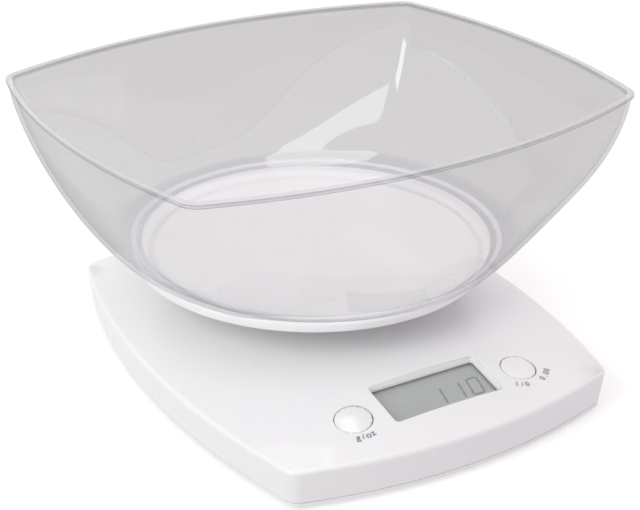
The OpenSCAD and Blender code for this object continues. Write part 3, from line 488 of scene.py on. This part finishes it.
for nodeName, nodeObject in nodes.items():
    paint(nodeObject, finishes[nodeFinish[nodeName]])
bodyOf = {node: body for body, members in frame["record"]["behaviour"]["bodies"].items() for node in members}
print("materials made and put on the CAD nodes")


# bowed outlines, shared by the case and the bowl

def arcPoints(centre, radius, start, end, steps):
    return [Vector((centre[0] + radius * cos(start + (end - start) * i / steps),
                    centre[1] + radius * sin(start + (end - start) * i / steps))) for i in range(steps + 1)]


def bowRadius(half, corner, across):
    sag = half - corner
    return (across * across + sag * sag) / (2 * sag)


def bowedOutline(halfX, halfY, cornerX, cornerY, radius, along, atCorner):
    # four bowed sides and four round corners, anticlockwise
    backRadius, sideRadius = bowRadius(halfY, cornerY, cornerX), bowRadius(halfX, cornerX, cornerY)
    fy, sx = backRadius - halfY, halfX - sideRadius
    apart = hypot(sx, fy)
    ex, ey = sx / apart, -fy / apart
    a, b = backRadius - radius, sideRadius - radius
    reach = (a * a - b * b + apart * apart) / (2 * apart)
    high = sqrt(a * a - reach * reach)
    corner = (reach * ex - high * ey, fy + reach * ey + high * ex)
    front, side = atan2(corner[1] - fy, corner[0]), atan2(corner[1], corner[0] - sx)
    quarter = (arcPoints((0, fy), backRadius, -pi / 2, front, along)
               + arcPoints(corner, radius, front, side, atCorner)[1:]
               + arcPoints((sx, 0), sideRadius, side, 0, along)[1:])
    half = quarter + [Vector((p.x, -p.y)) for p in reversed(quarter)][1:]
    whole = half + [Vector((-p.x, p.y)) for p in reversed(half)][1:]
    return whole[:-1]


# smooth copies of CAD nodes

def smoothCopy(node, name, angle=35):
    # the CAD mesh with its loose triangles merged, so that curved faces shade as one
    source = nodes[node]
    copy = bpy.data.objects.new(name, source.data.copy())
    bpy.context.scene.collection.objects.link(copy)
    selectOnly(copy)
    bpy.ops.object.mode_set(mode="EDIT")
    bpy.ops.mesh.select_all(action="SELECT")
    bpy.ops.mesh.remove_doubles(threshold=0.000004)
    bpy.ops.mesh.tris_convert_to_quads(face_threshold=radians(0.5), shape_threshold=radians(60))
    bpy.ops.object.mode_set(mode="OBJECT")
    bpy.ops.object.shade_smooth_by_angle(angle=radians(angle))
    # large flat faces keep their own normals beside small rounded ones
    bpy.ops.object.modifier_add(type="WEIGHTED_NORMAL")
    copy.modifiers[-1].keep_sharp = True
    copy.modifiers[-1].weight = 80
    bpy.ops.object.modifier_apply(modifier=copy.modifiers[-1].name)
    paint(copy, finishes[nodeFinish[node]])
    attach(copy, bodyOf[node])
    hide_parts(node)
    return copy


crown = {
    "halfWidth": 95.0, "halfDepth": 115.8, "cornerX": 79.8, "cornerY": 103.8, "rise": 14.8,
    "edge": 20.1, "centreY": -1.5374, "blend": 6,
    "upward": 0.9, "edgeReach": 0.5, "skinReach": 1.6,    # which faces count as the crowned top
}


def crownHeight(x, y):
    # height of the crown above the case's edge line, at a point in mm from the case's centre
    s = hypot(x / crown["halfWidth"], y / crown["halfDepth"])
    if s < 1e-6:
        return crown["rise"]
    ex, ey = abs(x) / s, abs(y) / s
    backRadius = bowRadius(crown["halfDepth"], crown["cornerY"], crown["cornerX"])
    sideRadius = bowRadius(crown["halfWidth"], crown["cornerX"], crown["cornerY"])
    fy, fx = backRadius - crown["halfDepth"], sideRadius - crown["halfWidth"]
    ee = ex * ex + ey * ey
    byBack = (-ey * fy + sqrt((ey * fy) ** 2 + ee * (backRadius ** 2 - fy * fy))) / ee
    bySide = (-ex * fx + sqrt((ex * fx) ** 2 + ee * (sideRadius ** 2 - fx * fx))) / ee
    t = s
    for _ in range(10):
        t = s / (1 + (min(byBack, bySide) - 1) * t ** crown["blend"])
    return crown["rise"] * (1 - t * t)


def crownNormal(x, y, step=0.5):
    slopeX = (crownHeight(x + step, y) - crownHeight(x - step, y)) / (2 * step)
    slopeY = (crownHeight(x, y + step) - crownHeight(x, y - step)) / (2 * step)
    return Vector((-slopeX, -slopeY, 1)).normalized()


buttonOval = {"x": 42.0, "y": -89.96, "wide": 0.955, "deep": 0.86, "hole": 9.6, "cap": 14}


def makeOval(piece, sides, reach):
    # the buttons and their openings are a little wider than deep, along the slope of the crown
    b = buttonOval
    for side in sides:
        x, y = side * b["x"], b["y"] - crown["centreY"]
        up = crownNormal(x, y)
        along = (Vector((1, 0, 0)) - up * up.x).normalized()
        middle = Vector((x, b["y"], crown["edge"] + crownHeight(x, y))) * mm
        selectOnly(piece)
        bpy.ops.object.mode_set(mode="EDIT")
        selectVerts(piece, lambda p: hypot(p.x - middle.x, p.y - middle.y) < reach * mm)
        slope = Matrix((along, up.cross(along), up))
        bpy.ops.transform.resize(value=(b["wide"], b["deep"], 1), orient_type="GLOBAL", center_override=middle,
                                 orient_matrix=slope, orient_matrix_type="GLOBAL")
        bpy.ops.object.mode_set(mode="OBJECT")


def topCoverShell():
    # the faces of the crowned top get the normals of the crown itself, so that no facet shows
    shell = smoothCopy("top_cover", "topCoverShell", 32)
    makeOval(shell, (-1, 1), buttonOval["hole"])
    mesh = shell.data
    normals = [Vector((0, 0, 0))] * len(mesh.loops)
    count = 0
    for face in mesh.polygons:
        middle = face.center / mm
        t = hypot(middle.x / crown["halfWidth"], (middle.y - crown["centreY"]) / crown["halfDepth"])
        lowest = max(crown["edge"] - crown["edgeReach"],
                     crown["edge"] + crown["rise"] * (1 - t * t) - crown["skinReach"])
        if face.normal.z < crown["upward"] or middle.z < lowest:
            continue
        count += 1
        for index in face.loop_indices:
            p = mesh.vertices[mesh.loops[index].vertex_index].co / mm
            normals[index] = crownNormal(p.x, p.y - crown["centreY"])
    mesh.normals_split_custom_set(normals)
    print("crowned faces with the crown's own normals:", count)


topCoverShell()
smoothCopy("bottom_cover", "bottomCoverShell", 32)
smoothCopy("platform", "platformPlate", 32)
smoothCopy("battery_door", "batteryDoorPanel", 32)
makeOval(smoothCopy("unit_button", "unitButtonCap", 40), (-1,), buttonOval["cap"])
makeOval(smoothCopy("tare_button", "tareButtonCap", 40), (1,), buttonOval["cap"])
smoothCopy("rubber_feet", "rubberFootPads", 40)
smoothCopy("platform_hub", "platformHubColumn", 32)
smoothCopy("battery_a", "batteryCellA", 35)
smoothCopy("battery_b", "batteryCellB", 35)
print("case, platform and buttons smoothed")


# display digits and button legends

display = {
    "y": -88.3374, "z": 26.5846, "tilt": 10.8464, "glass": -5.6,
    "digits": "110", "firstCell": 1.0, "pitch": 9.6, "middle": -1.5,
    "height": 9.6, "width": 5.4, "stroke": 1.2, "gap": 0.08, "slant": 10.5, "lift": 0.03,
}
legends = {
    # centre and radius of the arc in plan, angles of the first and last letter, letter size, in mm and degrees
    "unit": {"words": "g/oz", "centre": (-41.7, -86.5), "radius": 14.2, "from": -107.5, "to": -80.0,
             "size": 4.5},
    "power": {"words": "1/0   0.00", "centre": (41.6, -85.6), "radius": 15.5, "from": -118.0, "to": -40.0,
              "size": 3.8},
}
printLift = 0.03    # mm, how far the print stands off the case
segmentsOf = {"0": "abcdef", "1": "bc", "2": "abged", "3": "abgcd", "4": "fgbc", "5": "afgcd", "6": "afgedc",
              "7": "abc", "8": "abcdefg", "9": "abcdfg"}


def segmentBar(length, stroke):
    # a flat bar with pointed ends, lying along X
    half = (length - stroke) / 2 * mm
    bpy.ops.object.select_all(action="DESELECT")
    bpy.ops.mesh.primitive_circle_add(vertices=6, radius=stroke / 2 * mm, fill_type="NGON")
    bar = bpy.context.active_object
    bpy.ops.object.mode_set(mode="EDIT")
    bpy.ops.transform.rotate(value=radians(90), orient_axis="Z", center_override=(0, 0, 0))
    for way in (1, -1):
        selectVerts(bar, lambda p: p.x * way > 0.0001 * mm)
        bpy.ops.transform.translate(value=(half * way, 0, 0))
    bpy.ops.object.mode_set(mode="OBJECT")
    return bar


def displayDigits():
    d = display
    tall, wide = d["height"] / 2 - d["gap"] * 2, d["width"] - d["gap"] * 2
    right, up, quarter = d["width"] / 2, d["height"] / 2, d["height"] / 4
    # each segment's middle, length and turn
    spots = {"a": (0, up, wide, 0), "g": (0, 0, wide, 0), "d": (0, -up, wide, 0),
             "f": (-right, quarter, tall, 90), "b": (right, quarter, tall, 90),
             "e": (-right, -quarter, tall, 90), "c": (right, -quarter, tall, 90)}
    bars = {length: segmentBar(length, d["stroke"]) for length in (wide, tall)}
    slope = Matrix.Translation(Vector((0, d["y"], d["z"])) * mm) @ Matrix.Rotation(radians(d["tilt"]), 4, "X")
    lean = Matrix(((1, sin(radians(d["slant"])), 0, 0), (0, 1, 0, 0), (0, 0, 1, 0), (0, 0, 0, 1)))
    lit = []
    for index, digit in enumerate(d["digits"]):
        centre = Vector((d["firstCell"] + index * d["pitch"], d["middle"], d["glass"] + d["lift"]))
        cell = Matrix.Translation(centre * mm)
        for letter in segmentsOf[digit]:
            x, y, length, turn = spots[letter]
            bar = bars[length].copy()
            bar.data = bars[length].data.copy()
            bpy.context.scene.collection.objects.link(bar)
            spot = Matrix.Translation(Vector((x, y, 0)) * mm) @ Matrix.Rotation(radians(turn), 4, "Z")
            bar.data.transform(slope @ cell @ lean @ spot)
            lit.append(bar)
    for bar in bars.values():
        bpy.data.objects.remove(bar)
    digits = joinAs("displayDigits", lit)
    paint(digits, finishes["digitGrey"])
    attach(digits, "case")


def buttonLegend(name, made):
    words = made["words"]
    letters = []
    for index, letter in enumerate(words):
        if letter == " ":
            continue
        angle = radians(made["from"] + (made["to"] - made["from"]) * index / (len(words) - 1))
        x = made["centre"][0] + made["radius"] * cos(angle)
        y = made["centre"][1] + made["radius"] * sin(angle)
        fromCentre = y - crown["centreY"]
        up = crownNormal(x, fromCentre)
        along = Vector((-sin(angle), cos(angle), 0))
        along = (along - up * along.dot(up)).normalized()
        spot = Vector((x, y, crown["edge"] + crownHeight(x, fromCentre) + printLift)) * mm
        bpy.ops.object.select_all(action="DESELECT")
        bpy.ops.object.text_add()
        text = bpy.context.active_object
        text.data.body = letter
        text.data.size = made["size"] * mm
        text.data.align_x = "CENTER"
        text.data.align_y = "CENTER"
        bpy.ops.object.convert(target="MESH")
        turn = Matrix((along, up.cross(along), up)).transposed().to_4x4()
        text.data.transform(Matrix.Translation(spot) @ turn)
        letters.append(text)
    label = joinAs(name + "Legend", letters)
    paint(label, finishes["legendGrey"])
    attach(label, "case")


displayDigits()
for legendName, legendMade in legends.items():
    buttonLegend(legendName, legendMade)
print("digits and legends placed")


# bowl

gateMark = {"radius": 1.6, "height": 0.14, "rim": 0.45, "dish": 0.08, "lift": 0.01}

bowl = {
    "rimHalfX": 124.36, "rimHalfY": 104.56, "rimCornerX": 112.76, "rimCornerY": 83.76,
    "rimCornerRadius": 9.6, "rimTop": 129.28, "lipHeight": 2.4, "lipOut": 0.9,
    "baseRadius": 86.4, "baseHeight": 56.3, "wall": 1.8, "footRadius": 78.0, "footLow": 51.4, "plateTop": 55.6,
    "flareLow": 0.76, "flareHigh": 1.62, "turn": 3.5, "slopeStep": 0.01,
    "levels": 44, "spread": 1.5, "along": 26, "atCorner": 14,    # rings up the wall, and points round each
    "innerFrom": 0.03, "innerTo": 0.985,    # share of the wall's height that the inner rings cover
    # rings of the foot and the underside beside it: inset from the foot's radius, and height over its face
    "footProfile": [(3, 2.2), (3, 0.3), (2.7, 0), (0.3, 0), (0, 0.3), (0, 2.0), (-0.5, 2.3), (-5.6, 3.1)],
    # rings of the lip, from outside to inside: inset from the rim, and how far below its top
    "lipProfile": [(0.25, 2.28), (0, 1.95), (0, 0.55), (0.18, 0.15), (0.6, 0), (1.7, 0), (2.2, 0.2),
                   (2.5, 0.6)],
    # rings that round the inner wall into the floor: inset from the base radius, and height over the floor
    "floorProfile": [(5.2, 0.75), (6.9, 0.22), (8.6, 0)],
}


def bowlRings(b):
    def outline(inset):
        return bowedOutline(b["rimHalfX"] - inset, b["rimHalfY"] - inset, b["rimCornerX"] - inset,
                            b["rimCornerY"] - inset, b["rimCornerRadius"] - inset, b["along"], b["atCorner"])

    rimLine = outline(b["lipOut"])
    span = b["rimTop"] - b["lipHeight"] - b["baseHeight"]

    def wallPoint(p, s):
        w = 1 - (1 - s ** b["flareLow"]) ** b["flareHigh"]
        q = p.normalized() * b["baseRadius"] * (1 - w) + p * w
        return Vector((q.x, q.y, b["baseHeight"] + span * s))

    def innerPoint(p, s):
        low, high = wallPoint(p, max(s - b["slopeStep"], 0)), wallPoint(p, min(s + b["slopeStep"], 1))
        here = wallPoint(p, s)
        out = p.normalized()
        dr, dz = hypot(high.x, high.y) - hypot(low.x, low.y), high.z - low.z
        length = hypot(dr, dz)
        return Vector((here.x - out.x * b["wall"] * dz / length, here.y - out.y * b["wall"] * dz / length,
                       here.z + b["wall"] * dr / length))

    def roundRing(radius, z):
        return [Vector((*(p.normalized() * radius), z)) for p in rimLine]

    def flatRing(inset, z):
        return [Vector((p.x, p.y, z)) for p in outline(inset)]

    steps = [(i / b["levels"]) ** b["spread"] for i in range(b["levels"] + 1)]
    rings = [roundRing(b["footRadius"] - inset, b["footLow"] + up) for inset, up in b["footProfile"]]
    rings += [[wallPoint(p, s) for p in rimLine] for s in steps]
    rings += [flatRing(inset, b["rimTop"] - drop) for inset, drop in b["lipProfile"]]
    rings += [[innerPoint(p, s) for p in rimLine] for s in reversed(steps)
              if b["innerFrom"] <= s <= b["innerTo"]]
    rings += [roundRing(b["baseRadius"] - inset, b["plateTop"] + up) for inset, up in b["floorProfile"]]
    return rings


def loftRings(name, rings):
    # a circle of the right count is laid on the first ring, then extruded ring by ring
    count = len(rings[0])
    bpy.ops.object.select_all(action="DESELECT")
    bpy.ops.mesh.primitive_circle_add(vertices=count, radius=0.08, fill_type="NOTHING")
    piece = bpy.context.active_object
    piece.name = name
    piece.data.name = name
    bpy.ops.object.mode_set(mode="EDIT")
    mesh = bmesh.from_edit_mesh(piece.data)
    mesh.verts.ensure_lookup_table()
    for vert, spot in zip(mesh.verts, rings[0]):
        vert.co = spot * mm
    for ring in rings[1:]:
        before = len(mesh.verts)
        bpy.ops.mesh.extrude_edges_move()
        mesh = bmesh.from_edit_mesh(piece.data)
        mesh.verts.ensure_lookup_table()
        for vert, spot in zip(mesh.verts[before:], ring):
            vert.co = spot * mm
    bmesh.update_edit_mesh(piece.data)
    bpy.ops.mesh.edge_face_add()
    # the last ring is closed, and now the first
    mesh = bmesh.from_edit_mesh(piece.data)
    mesh.verts.ensure_lookup_table()
    for vert in mesh.verts:
        vert.select = vert.index < count
    mesh.select_flush_mode()
    bmesh.update_edit_mesh(piece.data)
    bpy.ops.mesh.select_mode(type="VERT")
    bpy.ops.mesh.edge_face_add()
    bpy.ops.mesh.select_all(action="SELECT")
    bpy.ops.mesh.normals_make_consistent(inside=False)
    bpy.ops.object.mode_set(mode="OBJECT")
    return piece


def clearBowlPiece():
    piece = loftRings("clearBowl", bowlRings(bowl))
    piece.rotation_euler.z = radians(bowl["turn"])
    piece.location.y = bowlCentreY * mm
    applyPlace(piece)
    bpy.ops.object.shade_smooth_by_angle(angle=radians(35))
    paint(piece, finishes["bowlClear"])
    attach(piece, "bowl")
    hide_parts("bowl")


def gatePip():
    # what the mould's gate leaves at the middle of the floor: a low round pip with a dished top
    g = gateMark
    bpy.ops.object.select_all(action="DESELECT")
    bpy.ops.mesh.primitive_circle_add(vertices=32, radius=g["radius"] * mm, fill_type="NGON",
                                      location=(0, bowlCentreY * mm, (bowl["plateTop"] + g["lift"]) * mm))
    pip = bpy.context.active_object
    pip.name = "gatePip"
    bpy.ops.object.mode_set(mode="EDIT")
    bpy.ops.mesh.extrude_region_move(TRANSFORM_OT_translate={"value": (0, 0, g["height"] * mm)})
    bpy.ops.mesh.inset(thickness=g["rim"] * mm)
    bpy.ops.transform.translate(value=(0, 0, -g["dish"] * mm))
    bpy.ops.mesh.select_all(action="SELECT")
    bpy.ops.mesh.normals_make_consistent(inside=False)
    bpy.ops.object.mode_set(mode="OBJECT")
    applyPlace(pip)
    bpy.ops.object.shade_smooth_by_angle(angle=radians(35))
    paint(pip, finishes["bowlClear"])
    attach(pip, "bowl")


clearBowlPiece()
gatePip()
print("bowl lofted")
